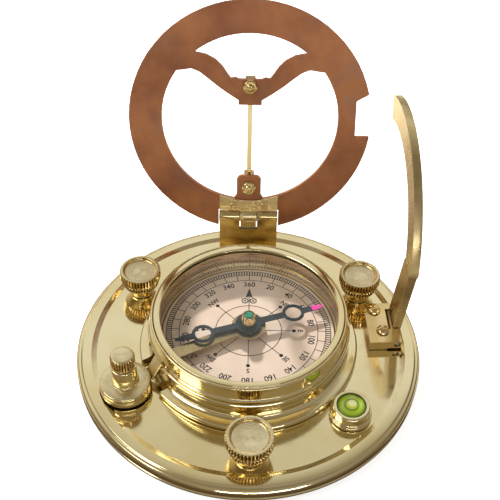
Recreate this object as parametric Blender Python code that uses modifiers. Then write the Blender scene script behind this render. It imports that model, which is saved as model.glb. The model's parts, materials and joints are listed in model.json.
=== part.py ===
"""Brass sundial compass.

A round plate on three levelling screws carries a boxed magnetic compass, a
bullseye level, a needle arrest with its lock screw, a copper hour ring that
folds over the compass, and a latitude arc that swings beside the ring.
Lengths are written in millimetres and turned into metres where a shape is made.
"""
import math

import bmesh
import bpy
from mathutils import Vector

MM = 0.001
GAP = 0.3                      # play left between two pieces that touch

# Base plate
FOOT = 3.0                     # the levelling screws reach this far below the plate
BASE_R = 63.5
BASE_TOP = 5.0                 # height of the flat plate above its underside
RIM_TOP = 5.6                  # raised land round the edge
REGISTER_R = 33.3              # shallow seat that centres the compass bowl

# Compass box
BOWL_RIM = 15.5
FLANGE_R = 40.3
WELL_R = 31.9                  # inner radius of bowl, bezel and glass ring
BEZEL_TOP = 22.4
DIAL_TOP = 12.0
BOWL_SCREW_R = 31.0            # pitch radius of the three screws from below
BOWL_SCREW_ANGLES = (60, 180, 300)

# Needle and its arrest
NEEDLE_Z = 15.6
NEEDLE_ANGLE = 18.5            # north end, measured from +X
CAP_FLANGE_Z = 14.9
LEVER_ANGLE = -152.3           # direction of the lifting lever
LEVER_PIVOT_S = 34.0           # lever pivot, distance from the needle axis
LEVER_PIVOT_Z = 13.3
LEVER_WIDTH = 5.0
PILLAR_S = 48.6                # lock screw, distance from the needle axis
SLOT_WIDTH = 16.0

# Levelling screws and level
LEVEL_CIRCLE = 49.5
LEVEL_ANGLES = {"front": -88.8, "right": 30.9, "left": 148.6}
KNOB_SIZE = {"front": 1.12, "right": 1.06, "left": 1.06}   # they are filed by hand and differ
SPINDLE_R = 1.7
LEVEL_X, LEVEL_Y = 35.8, -32.0

# Hour ring, in its own plane: x across, v up from the hinge axis, n towards the front
HINGE_X = -0.9                 # the hinge sits a little off centre
HINGE_Y, HINGE_Z = 50.7, 23.2
RING_LEAN = 14.2               # degrees past upright
RING_R = 46.0
RING_CENTRE = 39.6
OPENING_R = 33.5
OPENING_CENTRE = 40.0
RING_FRONT, RING_BACK = -1.3, -3.1
LEAF_HALF = 11.5
BARREL_R = 2.2
TONGUE_HALF = 3.2
STUD_V = (11.9, 53.4)
BLADE_V = (17.3, 45.9)
BLADE_N = -5.4                 # gnomon's pivot line, behind the ring
PIN_V = 39.6

# Latitude arc
ARC_PIN_X, ARC_PIN_Z = 54.4, 7.7
ARC_YAW = 3.0                  # degrees, the whole bracket sits turned on the plate
ARC_MID_Y = 9.3
BRACKET_Y = (-2.2, 17.3)
ARM_Y = (4.6, 14.0)
ARM_LEAN = 5.3                 # degrees outwards
ARC_LEAN = 2.2                 # degrees outwards
ARM_TOP = 36.8
ARC_OUT, ARC_IN = 49.4, 40.4
ARC_END = 114.0                # degrees round from the front
ARC_THICK = 3.1
ARM_THICK = 3.2


def clear_scene():
    for obj in list(bpy.data.objects):
        bpy.data.objects.remove(obj, do_unlink=True)


def collection(name):
    made = bpy.data.collections.new(name)
    bpy.context.scene.collection.children.link(made)
    return made


def finish(name, colour, roughness, metallic):
    mat = bpy.data.materials.new(name)
    mat.use_nodes = True
    shader = mat.node_tree.nodes["Principled BSDF"]
    shader.inputs["Base Color"].default_value = (*colour, 1.0)
    shader.inputs["Roughness"].default_value = roughness
    shader.inputs["Metallic"].default_value = metallic
    return mat


clear_scene()
PARTS = collection("sundial_compass")
CUTTERS = collection("cutters")

BRASS = finish("polished_brass", (0.83, 0.66, 0.34), 0.16, 1.0)
BRASS_SATIN = finish("satin_brass", (0.72, 0.54, 0.24), 0.35, 1.0)
COPPER = finish("aged_copper", (0.45, 0.19, 0.09), 0.42, 1.0)
BLUED = finish("blued_steel", (0.06, 0.08, 0.10), 0.38, 1.0)
STEEL = finish("steel", (0.55, 0.55, 0.56), 0.3, 1.0)
DIAL = finish("dial_enamel", (0.85, 0.72, 0.62), 0.45, 0.0)
GLASS = finish("clear_glass", (0.95, 0.97, 0.96), 0.03, 0.0)
JEWEL = finish("green_jewel", (0.02, 0.30, 0.17), 0.15, 0.0)
VIAL = finish("level_fluid", (0.55, 0.72, 0.02), 0.08, 0.0)


def empty(name, parent=None, location=(0, 0, 0), rotation=(0, 0, 0)):
    made = bpy.data.objects.new(name, None)
    PARTS.objects.link(made)
    made.parent = parent
    made.location = Vector(location) * MM
    made.rotation_euler = [math.radians(a) for a in rotation]
    return made


def place(obj, parent, location=(0, 0, 0), rotation=(0, 0, 0)):
    obj.parent = parent
    obj.location = Vector(location) * MM
    obj.rotation_euler = [math.radians(a) for a in rotation]
    return obj


def link(name, mesh, mat=None):
    obj = bpy.data.objects.new(name, mesh)
    PARTS.objects.link(obj)
    if mat is not None:
        mesh.materials.append(mat)
    return obj


def as_tool(obj):
    """Turn an object into a hidden cutter or joining shape."""
    for owner in list(obj.users_collection):
        owner.objects.unlink(obj)
    CUTTERS.objects.link(obj)
    obj.hide_render = True
    obj.display_type = 'WIRE'
    return obj


def boolean(obj, tool, operation):
    mod = obj.modifiers.new(operation.lower(), 'BOOLEAN')
    mod.operation = operation
    mod.solver = 'EXACT'
    mod.object = as_tool(tool)
    return obj


def cut(obj, *tools):
    for tool in tools:
        boolean(obj, tool, 'DIFFERENCE')
    return obj


def join(obj, *tools):
    for tool in tools:
        boolean(obj, tool, 'UNION')
    return obj


def turned(name, profile, mat=None, steps=48, loop=False):
    """Turn a profile of (radius, height) points, listed down the outer side, about Z."""
    mesh = bpy.data.meshes.new(name)
    points = [(r * MM, 0.0, z * MM) for r, z in profile]
    edges = [(i, i + 1) for i in range(len(points) - 1)]
    if loop:
        edges.append((len(points) - 1, 0))
    mesh.from_pydata(points, edges, [])
    obj = link(name, mesh, mat)
    screw = obj.modifiers.new("turn", 'SCREW')
    screw.axis = 'Z'
    screw.angle = math.tau
    screw.steps = steps
    screw.render_steps = steps
    screw.use_merge_vertices = True
    screw.merge_threshold = 0.00001
    screw.use_smooth_shade = True
    return obj


def box(name, low, high, mat=None):
    """A box between two corners, with its scale applied."""
    low, high = Vector(low), Vector(high)
    bpy.ops.mesh.primitive_cube_add(size=1.0)
    obj = bpy.context.object
    obj.name = name
    for owner in list(obj.users_collection):
        owner.objects.unlink(obj)
    PARTS.objects.link(obj)
    size, middle = (high - low) * MM, (high + low) * 0.5 * MM
    for vert in obj.data.vertices:
        vert.co = Vector([c * s + m for c, s, m in zip(vert.co, size, middle)])
    if mat is not None:
        obj.data.materials.append(mat)
    return obj


def rod(name, radius, start, end, mat=None, sides=24):
    """A straight round rod between two points."""
    start, end = Vector(start) * MM, Vector(end) * MM
    along = end - start
    bm = bmesh.new()
    bmesh.ops.create_cone(bm, cap_ends=True, segments=sides, radius1=radius * MM,
                          radius2=radius * MM, depth=along.length)
    turn = along.to_track_quat('Z', 'Y').to_matrix().to_4x4()
    bmesh.ops.transform(bm, matrix=turn, verts=bm.verts)
    bmesh.ops.translate(bm, vec=(start + end) * 0.5, verts=bm.verts)
    mesh = bpy.data.meshes.new(name)
    bm.to_mesh(mesh)
    bm.free()
    return link(name, mesh, mat)


def flat(name, loops, low, high, mat=None, upright=False):
    """A flat plate from outlines (the first outer, the others holes), low to high.

    It lies in XY with its thickness along Z. An upright plate is turned so that its
    outline's second axis is Z and its thickness runs along -Y.
    """
    curve = bpy.data.curves.new(name, 'CURVE')
    curve.dimensions = '2D'
    curve.fill_mode = 'BOTH'
    curve.extrude = (high - low) * 0.5 * MM
    for loop in loops:
        spline = curve.splines.new('POLY')
        spline.points.add(len(loop) - 1)
        for point, (x, y) in zip(spline.points, loop):
            point.co = (x * MM, y * MM, 0.0, 1.0)
        spline.use_cyclic_u = True
    shape = bpy.data.objects.new(name + "_outline", curve)
    PARTS.objects.link(shape)
    bpy.context.view_layer.update()
    graph = bpy.context.evaluated_depsgraph_get()
    mesh = bpy.data.meshes.new_from_object(shape.evaluated_get(graph))
    bpy.data.objects.remove(shape, do_unlink=True)
    mesh.name = name
    mesh.materials.clear()
    bm = bmesh.new()
    bm.from_mesh(mesh)
    bmesh.ops.remove_doubles(bm, verts=bm.verts, dist=0.000002)
    bmesh.ops.translate(bm, vec=(0, 0, (low + high) * 0.5 * MM), verts=bm.verts)
    if upright:
        for vert in bm.verts:
            x, y, z = vert.co
            vert.co = (x, -z, y)
    bmesh.ops.recalc_face_normals(bm, faces=bm.faces)
    bm.to_mesh(mesh)
    bm.free()
    return link(name, mesh, mat)


def arc(radius, start, end, steps, centre=(0, 0)):
    """Points on an arc, angles in degrees."""
    points = []
    for i in range(steps + 1):
        a = math.radians(start + (end - start) * i / steps)
        points.append((centre[0] + radius * math.cos(a), centre[1] + radius * math.sin(a)))
    return points


def circle(radius, centre=(0, 0), steps=24):
    return arc(radius, 0, 360, steps, centre)[:-1]


def polar(radius, angle):
    a = math.radians(angle)
    return radius * math.cos(a), radius * math.sin(a)


UNDERSIDE = empty("plate_underside", location=(0, 0, FOOT))

# Fasteners that hold the hinge foot and the arc bracket to the plate
HINGE_SCREWS = [(HINGE_X - 7.0, 52.4), (HINGE_X + 7.0, 52.4)]
BRACKET_SCREWS = [(50.0, 3.2), (47.6, 13.3)]
HINGE_FOOT_TOP = 6.9
BRACKET_TOP = 9.3


def base_plate():
    profile = [(0, 4.0), (REGISTER_R, 4.0), (REGISTER_R, BASE_TOP), (56.1, BASE_TOP),
               (58.0, RIM_TOP), (61.3, RIM_TOP), (61.8, 5.1), (62.6, 5.0), (BASE_R, 4.1),
               (BASE_R, 2.2), (62.9, 1.6), (62.9, 1.2), (63.4, 0.9), (63.4, 0.3),
               (63.1, 0.0), (0, 0.0)]
    plate = turned("base_plate", profile, BRASS, steps=60)
    tools = []
    for name, angle in LEVEL_ANGLES.items():
        x, y = polar(LEVEL_CIRCLE, angle)
        tools.append(rod("bore_" + name, 2.1, (x, y, -1), (x, y, 7), sides=20))
    for i, angle in enumerate(BOWL_SCREW_ANGLES):
        x, y = polar(BOWL_SCREW_R, angle)
        tools.append(rod(f"bowl_hole_{i}", 1.45, (x, y, 1), (x, y, 5), sides=16))
        tools.append(rod(f"bowl_counterbore_{i}", 2.9, (x, y, -1), (x, y, 1.9), sides=16))
    for i, (x, y) in enumerate(HINGE_SCREWS + BRACKET_SCREWS):
        tools.append(rod(f"tapped_hole_{i}", 1.4, (x, y, 1.5), (x, y, 6), sides=16))
    x, y = polar(PILLAR_S, LEVER_ANGLE)
    tools.append(rod("pillar_hole", 2.8, (x, y, 2.0), (x, y, 6), sides=20))
    cut(plate, *tools)
    for obj in [plate] + tools:
        place(obj, UNDERSIDE)


def compass_bowl():
    profile = [(WELL_R, BOWL_RIM), (36.4, BOWL_RIM), (36.9, 15.0), (36.9, 13.6),
               (36.2, 13.0), (35.6, 11.5), (35.6, 9.0), (36.4, 7.6), (39.7, 7.2),
               (FLANGE_R, 6.8), (FLANGE_R, BASE_TOP + GAP), (33.0, BASE_TOP + GAP),
               (33.0, 4.0 + GAP), (28.5, 4.0 + GAP), (28.5, 8.7), (1.5, 8.7), (1.5, 10.7),
               (WELL_R, 10.7)]
    bowl = turned("compass_bowl", profile, BRASS, loop=True)
    half = SLOT_WIDTH / 2
    upper = box("slot_upper", (31.0, -half, 11.2), (42.0, half, 17.0))
    lower = box("slot_lower", (33.6, -half, 4.8), (42.0, half, 11.6))
    ends = rod("pin_holes", 0.95, (LEVER_PIVOT_S, -half - 2.2, LEVER_PIVOT_Z),
               (LEVER_PIVOT_S, half + 2.2, LEVER_PIVOT_Z), sides=12)
    holes = []
    for i, angle in enumerate(BOWL_SCREW_ANGLES):
        x, y = polar(BOWL_SCREW_R, angle)
        holes.append(rod(f"bowl_thread_{i}", 1.45, (x, y, 3), (x, y, 9.0), sides=16))
    cut(bowl, upper, lower, ends, *holes)
    place(bowl, UNDERSIDE)
    for tool in holes:
        place(tool, UNDERSIDE)
    for tool in (upper, lower, ends):
        place(tool, UNDERSIDE, rotation=(0, 0, LEVER_ANGLE))
    for i, angle in enumerate(BOWL_SCREW_ANGLES):
        screw = turned(f"bowl_screw_{i + 1}",
                       [(0, 8.6), (1.15, 8.6), (1.15, 1.6), (2.5, 1.6), (2.5, 0.3), (0, 0.3)],
                       STEEL, steps=16)
        place(screw, UNDERSIDE, (*polar(BOWL_SCREW_R, angle), 0))


def glazing():
    rim = [(34.7, BEZEL_TOP), (35.3, BEZEL_TOP), (35.5, 22.1), (35.6, 17.2), (36.3, 16.9),
           (36.3, BOWL_RIM + GAP), (WELL_R, BOWL_RIM + GAP), (WELL_R, 20.7), (34.7, 20.7)]
    place(turned("bezel", rim, BRASS, loop=True), UNDERSIDE)
    pane = [(0, 21.7), (34.1, 21.7), (34.3, 21.5), (34.3, 21.0), (0, 21.0)]
    place(turned("crystal", pane, GLASS), UNDERSIDE)
    ring = [(32.2, 22.5), (34.2, 22.5), (34.4, 22.3), (34.4, 22.0), (WELL_R, 22.0),
            (WELL_R, 22.2)]
    place(turned("glass_ring", ring, BRASS, loop=True), UNDERSIDE)


def dial_and_pin():
    plate = [(2.0, DIAL_TOP), (31.3, DIAL_TOP), (31.5, 11.8), (31.5, 11.0), (2.0, 11.0)]
    place(turned("dial_plate", plate, DIAL, loop=True), UNDERSIDE)
    pin = [(0, 18.0), (0.25, 17.6), (1.1, 15.0), (1.1, 13.6), (1.6, 13.2), (1.6, 12.3),
           (1.2, 12.3), (1.2, 7.8), (0, 7.8)]
    place(turned("pivot_pin", pin, BRASS, steps=16), UNDERSIDE)


def needle_outline():
    """Half of the blade's edge at a time: hub, arm, ring and tip, north then south."""
    hub_r, ring_at, ring_r, arm_half = 4.9, 17.3, 4.1, 1.3
    lead = math.degrees(math.asin(arm_half / ring_r))
    hub = math.degrees(math.asin(arm_half / hub_r))

    def arm_half_edge(reach):
        over = arc(ring_r, 180 - lead, lead, 10, (ring_at, 0))
        return over + [(reach - 2.2, 1.0), (reach, 0.25)]

    north, south = arm_half_edge(29.1), arm_half_edge(27.8)
    top_hub = arc(hub_r, 180 - hub, hub, 10)
    edge = [(-x, y) for x, y in reversed(south)] + top_hub + north
    under = [(x, -y) for x, y in reversed(north)] + [(x, -y) for x, y in reversed(top_hub)]
    return edge + under + [(-x, -y) for x, y in south]


def needle():
    spin = empty("needle_axis", UNDERSIDE, rotation=(0, 0, NEEDLE_ANGLE))
    loops = [needle_outline(), circle(2.2, steps=20)]
    loops += [circle(2.9, (17.3, 0), 20), circle(2.9, (-17.3, 0), 20)]
    blade = flat("needle_blade", loops, NEEDLE_Z, NEEDLE_Z + 0.5, BLUED)
    place(blade, spin)
    cap = [(0, 19.4), (1.95, 19.4), (1.95, 20.3), (2.3, 20.3), (2.45, 20.1), (2.9, 16.4),
           (1.9, 16.4), (1.9, 15.3), (3.6, 15.3), (3.6, CAP_FLANGE_Z),
           (1.55, CAP_FLANGE_Z), (0.45, 18.3), (0, 18.3)]
    place(turned("needle_cap", cap, BRASS, steps=24), UNDERSIDE)
    gem = [(0, 20.4), (1.3, 20.4), (1.65, 20.2), (1.65, 19.7), (0, 19.7)]
    place(turned("cap_jewel", gem, JEWEL, steps=24), UNDERSIDE)


def needle_arrest():
    """Lever under the needle, its pin, and the pillar with the lock screw over it."""
    half = LEVER_WIDTH / 2
    x, y = polar(LEVER_PIVOT_S, LEVER_ANGLE)
    lever_axis = empty("lifter_axis", UNDERSIDE, (x, y, LEVER_PIVOT_Z), (0, 0, LEVER_ANGLE))
    side = [(5.6, 14.6), (35.9, 14.6), (39.7, 8.6), (49.6, 8.6), (49.6, 7.8), (39.2, 7.8),
            (35.7, 12.9), (35.7, 12.0), (32.3, 12.0), (32.3, 13.9), (5.6, 13.9)]
    side = [(s - LEVER_PIVOT_S, z - LEVER_PIVOT_Z) for s, z in side]
    lever = flat("needle_lifter", [side], -half, half, BRASS, upright=True)
    eye = flat("lifter_eye", [circle(6.3, steps=32)], 13.9 - LEVER_PIVOT_Z,
               14.6 - LEVER_PIVOT_Z)
    clear = rod("eye_hole", 2.5, (-LEVER_PIVOT_S, 0, -1), (-LEVER_PIVOT_S, 0, 3), sides=24)
    bore = rod("lifter_bore", 0.95, (0, -half - 1, 0), (0, half + 1, 0), sides=12)
    join(lever, eye)
    cut(lever, clear, bore)
    place(eye, lever_axis, (-LEVER_PIVOT_S, 0, 0))
    for obj in (lever, clear, bore):
        place(obj, lever_axis)
    reach = SLOT_WIDTH / 2 + 1.8
    pin = rod("lifter_pin", 0.65, (0, -reach, 0), (0, reach, 0), STEEL, sides=12)
    place(pin, UNDERSIDE, (x, y, LEVER_PIVOT_Z), (0, 0, LEVER_ANGLE))

    spot = (*polar(PILLAR_S, LEVER_ANGLE), 0)
    post = [(0, 7.3), (1.9, 7.3), (1.9, 18.4), (4.2, 18.4), (4.5, 18.1), (4.6, 10.6),
            (8.6, 10.1), (9.1, 9.5), (9.1, RIM_TOP + GAP), (8.0, RIM_TOP + GAP),
            (6.0, BASE_TOP + GAP), (2.5, BASE_TOP + GAP), (2.5, 2.3), (0, 2.3)]
    pillar = turned("lock_pillar", post, BRASS, steps=32)
    slot = box("lever_slot", (-11.0, -3.3, 7.2), (1.6, 3.3, 9.2))
    cut(pillar, slot)
    place(pillar, UNDERSIDE, spot, (0, 0, LEVER_ANGLE))
    place(slot, UNDERSIDE, spot, (0, 0, LEVER_ANGLE))
    stem = [(0, 22.5), (1.5, 22.5), (1.5, 9.2), (1.25, 8.95), (0, 8.95)]
    place(turned("lock_spindle", stem, STEEL, steps=16), UNDERSIDE, spot)
    knob = [(0, 24.2), (3.7, 23.9), (4.3, 23.4), (4.3, 18.9), (4.0, 18.7), (1.8, 18.7),
            (1.8, 22.8), (0, 22.8)]
    place(turned("lock_knob", knob, BRASS, steps=24), UNDERSIDE, spot)


def levelling_screws():
    stem = [(0, 12.0), (SPINDLE_R, 12.0), (SPINDLE_R, 0.3 - FOOT), (1.4, -FOOT), (0, -FOOT)]
    head = [(0, 15.7), (5.7, 15.9), (6.1, 16.9), (7.1, 16.9), (7.4, 16.6), (7.4, 13.3),
            (6.6, 13.0), (6.6, 12.7), (7.0, 12.4), (6.3, 9.8), (4.3, 6.2),
            (4.3, BASE_TOP + GAP), (2.0, BASE_TOP + GAP), (2.0, 12.3), (0, 12.3)]
    for name, angle in LEVEL_ANGLES.items():
        spot = (*polar(LEVEL_CIRCLE, angle), 0)
        place(turned(f"leveller_spindle_{name}", stem, STEEL, steps=20), UNDERSIDE, spot)
        sized = [(r if r <= 2.0 else r * KNOB_SIZE[name], z) for r, z in head]
        place(turned(f"leveller_knob_{name}", sized, BRASS, steps=24), UNDERSIDE, spot)


def bullseye_level():
    cup = [(0, 6.2), (5.15, 6.2), (5.15, 10.5), (6.3, 10.5), (6.6, 10.2), (6.6, 7.1),
           (7.2, 6.9), (7.4, 6.7), (7.4, BASE_TOP + GAP), (0, BASE_TOP + GAP)]
    place(turned("level_housing", cup, BRASS, steps=32), UNDERSIDE, (LEVEL_X, LEVEL_Y, 0))
    body = [(0, 10.9), (3.2, 10.8), (4.85, 10.3), (4.85, 6.5), (0, 6.5)]
    place(turned("level_vial", body, VIAL, steps=32), UNDERSIDE, (LEVEL_X, LEVEL_Y, 0))


def top_screw(name, spot, seat, mat):
    """Round-headed screw from above, its head seated at the given height."""
    head = [(0, seat + 1.7), (1.3, seat + 1.55), (2.4, seat + 0.7), (2.4, seat + GAP),
            (1.1, seat + GAP), (1.1, 1.8), (0, 1.8)]
    return place(turned(name, head, mat, steps=20), UNDERSIDE, (*spot, 0))


def ring_hinge():
    """Bracket leaf on the plate, pin, and the screws that hold the bracket down."""
    low = BASE_TOP + GAP
    half = LEAF_HALF
    leaf = box("hinge_base_leaf", (-half, 48.3, low), (half, 49.9, HINGE_Z), BRASS)
    foot = box("leaf_foot", (-half, 49.3, low), (half, 55.0, HINGE_FOOT_TOP))
    window = box("leaf_window", (-TONGUE_HALF - 0.3, 46.0, 18.2), (TONGUE_HALF + 0.3, 60.0, 30.0))
    barrel = rod("leaf_barrel", BARREL_R, (-half - 0.1, HINGE_Y, HINGE_Z),
                 (half + 0.1, HINGE_Y, HINGE_Z))
    bore = rod("leaf_bore", 1.2, (-19, HINGE_Y, HINGE_Z), (19, HINGE_Y, HINGE_Z), sides=16)
    holes = [rod(f"foot_hole_{i}", 1.4, (x - HINGE_X, y, 4), (x - HINGE_X, y, 8), sides=16)
             for i, (x, y) in enumerate(HINGE_SCREWS)]
    join(leaf, foot, barrel)
    cut(leaf, window, bore, *holes)
    for obj in (leaf, foot, window, barrel, bore, *holes):
        place(obj, UNDERSIDE, (HINGE_X, 0, 0))
    pin = rod("hinge_pin", 0.9, (-half, 0, 0), (half, 0, 0), STEEL, sides=16)
    place(pin, UNDERSIDE, (HINGE_X, HINGE_Y, HINGE_Z))
    for i, spot in enumerate(HINGE_SCREWS):
        top_screw(f"hinge_screw_{i + 1}", spot, HINGE_FOOT_TOP, BRASS)


def cross_edges():
    """Right half of the curved cross piece: its upper and its lower edge."""
    upper = [(0.0, 56.1), (4.2, 56.1), (5.6, 56.7), (7.2, 56.4), (8.6, 58.3), (10.4, 61.0),
             (13.0, 63.5), (16.4, 65.3)]
    lower = [(4.4, 46.2), (4.4, 48.0), (8.4, 50.6), (12.3, 53.4), (16.0, 56.5),
             (19.2, 58.9), (22.0, 60.0), (25.0, 59.5)]
    return upper, lower


def hour_ring():
    axis = empty("hour_ring_axis", UNDERSIDE, (HINGE_X, HINGE_Y, HINGE_Z), (-RING_LEAN, 0, 0))
    centre = (0, RING_CENTRE)
    half = 11.95
    start = -math.degrees(math.acos(half / RING_R))
    low = math.degrees(math.asin((34.0 - RING_CENTRE) / RING_R))
    high = math.degrees(math.asin((51.0 - RING_CENTRE) / RING_R))
    rim = arc(RING_R, start, low, 16, centre) + [(40.2, 34.0), (40.0, 48.3)]
    rim += arc(RING_R, high, 180 - start, 44, centre) + [(-half, 2.2), (half, 2.2)]

    upper, lower = cross_edges()
    middle = (0, OPENING_CENTRE)
    top = arc(OPENING_R, 51.5, 128.5, 16, middle)
    top += [(-x, v) for x, v in reversed(upper)] + upper[1:]
    tab = [(-4.75, 8.6), (-4.75, 15.4), (-4.0, 16.5), (-3.0, 16.9), (3.0, 16.9), (4.0, 16.5),
           (4.75, 15.4), (4.75, 8.6)]
    side = arc(OPENING_R, -80.0, 35.0, 26, middle)
    bottom = side + list(reversed(lower)) + [(-x, v) for x, v in lower]
    bottom += [(-x, v) for x, v in reversed(side)] + tab
    studs = [circle(1.5, (0, v), 16) for v in STUD_V]
    rivets = [circle(1.2, (x, 4.5), 12) for x in (-6.1, 6.1)]
    ring = flat("hour_ring", [rim, top, bottom] + studs + rivets, RING_BACK, RING_FRONT,
                COPPER, upright=True)
    place(ring, axis)

    edge = arc(OPENING_R - 0.2, -90 + 20.2, -90 - 20.2, 14, middle)
    neck = TONGUE_HALF - 0.2
    outline = edge + [(-LEAF_HALF, 2.5), (-neck, 2.4), (-neck, 1.5), (neck, 1.5),
                      (neck, 2.4), (LEAF_HALF, 2.5)]
    leaf = flat("hinge_ring_leaf", [outline] + rivets, -1.0, 0.0, BRASS, upright=True)
    barrel = rod("ring_barrel", BARREL_R, (-TONGUE_HALF, 0, 0), (TONGUE_HALF, 0, 0))
    tongue = box("ring_tongue", (-TONGUE_HALF + 0.1, -2.1, -4.2), (TONGUE_HALF - 0.1, -0.7, -1.3))
    bore = rod("ring_leaf_bore", 1.2, (-14, 0, 0), (14, 0, 0), sides=16)
    join(leaf, barrel, tongue)
    cut(leaf, bore)
    for obj in (leaf, bore, barrel, tongue):
        place(obj, axis)
    for i, x in enumerate((-6.1, 6.1)):
        shape = [(0, 0.9), (0.9, 0.8), (1.6, 0.3), (0.9, 0.3), (0.9, -3.4), (1.6, -3.4),
                 (1.3, -3.9), (0, -4.0)]
        rivet = turned(f"leaf_rivet_{i + 1}", shape, BRASS, steps=12)
        place(rivet, axis, (x, 0, 4.5), (90, 0, 0))
    return axis


def gnomon(axis):
    """Bar with the style pin, pivoted between two feet studded through the ring."""
    feet = {"lower": (STUD_V[0], (8.6, 16.7)), "upper": (STUD_V[1], (46.6, 55.6))}
    for name, (stud, (low, high)) in feet.items():
        near = -RING_BACK + GAP
        foot = box(f"gnomon_foot_{name}", (-2.0, near, low), (2.0, near + 4.2, high), BRASS)
        stub = rod(f"foot_stub_{name}", 1.2, (0, near + 0.5, stud), (0, 0.1, stud), sides=16)
        mouth, inner = (high + 1, high - 2.9) if name == "lower" else (low - 1, low + 2.9)
        socket = rod(f"foot_socket_{name}", 1.1, (0, -BLADE_N, mouth), (0, -BLADE_N, inner),
                     sides=16)
        join(foot, stub)
        cut(foot, socket)
        for obj in (foot, stub, socket):
            place(obj, axis)
        dome = [(0, 1.0), (1.3, 0.85), (2.4, 0.2), (2.8, -0.6), (2.8, RING_FRONT + GAP),
                (1.5, RING_FRONT + GAP), (1.5, 0.2), (0, 0.2)]
        nut = turned(f"gnomon_nut_{name}", dome, BRASS, steps=20)
        place(nut, axis, (0, 0, stud), (90, 0, 0))
    pivot = empty("gnomon_axis", axis, (0, -BLADE_N, 0))
    bar = box("gnomon", (-0.9, -2.0, BLADE_V[0]), (0.9, 2.0, BLADE_V[1]), BRASS)
    journal = rod("gnomon_journals", 0.8, (0, 0, BLADE_V[0] - 2.8), (0, 0, BLADE_V[1] + 2.8),
                  sides=16)
    style = rod("gnomon_style", 0.7, (0, 1.0, PIN_V), (0, 15.0, PIN_V), sides=12)
    join(bar, journal, style)
    for obj in (bar, journal, style):
        place(obj, pivot)


def latitude_arc():
    """Bracket, pin, arm and graduated arc, all turned a little on the plate."""
    mount = empty("arc_mount", UNDERSIDE, (ARC_PIN_X, ARC_MID_Y, 0), (0, 0, ARC_YAW))
    low = BASE_TOP + GAP
    front, back = BRACKET_Y[0] - ARC_MID_Y, BRACKET_Y[1] - ARC_MID_Y
    arm_front, arm_back = ARM_Y[0] - ARC_MID_Y, ARM_Y[1] - ARC_MID_Y
    block = box("arc_bracket", (-10.2, front, low), (1.6, back, BRACKET_TOP), BRASS)
    slot = box("bracket_slot", (-2.4, arm_front - GAP, low - 1), (4.0, arm_back + GAP, 12.0))
    bore = rod("lug_bore", 1.15, (0, front - 1, ARC_PIN_Z), (0, back + 1, ARC_PIN_Z), sides=16)
    relief = box("rim_relief", (-3.4, front - 1, low - 1), (3.0, back + 1, RIM_TOP + GAP))
    cut(block, slot, relief, bore)
    for obj in (block, slot, relief, bore):
        place(obj, mount)
    for i, (x, y) in enumerate(BRACKET_SCREWS):
        hole = rod(f"bracket_hole_{i}", 1.4, (x, y, 4), (x, y, 11), sides=16)
        cut(block, hole)
        place(hole, UNDERSIDE)
        top_screw(f"arc_bracket_screw_{i + 1}", (x, y), BRACKET_TOP, BRASS_SATIN)
    pin = rod("arc_pin", 0.85, (0, front + 0.3, 0), (0, back - 0.3, 0), STEEL, sides=16)
    place(pin, mount, (0, 0, ARC_PIN_Z))

    axis = empty("latitude_arc_axis", mount, (0, 0, ARC_PIN_Z))
    lean = math.tan(math.radians(ARM_LEAN))
    rise = ARM_TOP - ARC_PIN_Z
    face = -1.1
    side = [(face, 0.0), (face + ARM_THICK, 0.0), (face + ARM_THICK + rise * lean, rise),
            (face + rise * lean, rise)]
    arm = flat("arc_arm", [side], -arm_back, -arm_front, BRASS_SATIN, upright=True)
    barrel = rod("arm_barrel", 1.8, (0, arm_front, 0), (0, arm_back, 0), sides=20)
    bore = rod("arm_bore", 1.15, (0, arm_front - 1, 0), (0, arm_back + 1, 0), sides=16)
    join(arm, barrel)
    cut(arm, bore)
    for obj in (arm, barrel, bore):
        place(obj, axis)

    foot = ARM_TOP + GAP
    first = math.degrees(math.asin((foot - HINGE_Z) / ARC_OUT))
    inner = math.degrees(math.asin((foot - HINGE_Z) / ARC_IN))
    hub = (HINGE_Y - ARC_MID_Y, HINGE_Z - foot)
    outline = arc(ARC_OUT, 180 - first, 180 - ARC_END, 30, hub)
    outline += arc(ARC_IN, 180 - ARC_END, 180 - inner, 26, hub)
    strip = flat("latitude_arc", [outline], 0.0, ARC_THICK, BRASS_SATIN, upright=True)
    place(strip, axis, (face + rise * lean, 0, foot - ARC_PIN_Z), (ARC_LEAN, 0, 90))


base_plate()
compass_bowl()
glazing()
dial_and_pin()
needle()
needle_arrest()
levelling_screws()
bullseye_level()
ring_hinge()
gnomon(hour_ring())
latitude_arc()
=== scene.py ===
"""Looks of the brass sundial compass: turned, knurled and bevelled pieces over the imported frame.

Sizes are written in millimetres. Heights in the turned profiles count from the underside
of the round plate, which the levelling screws hold FOOT above the table.
"""

import json
import math

import bmesh
import bpy
from mathutils import Matrix, Vector

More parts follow.
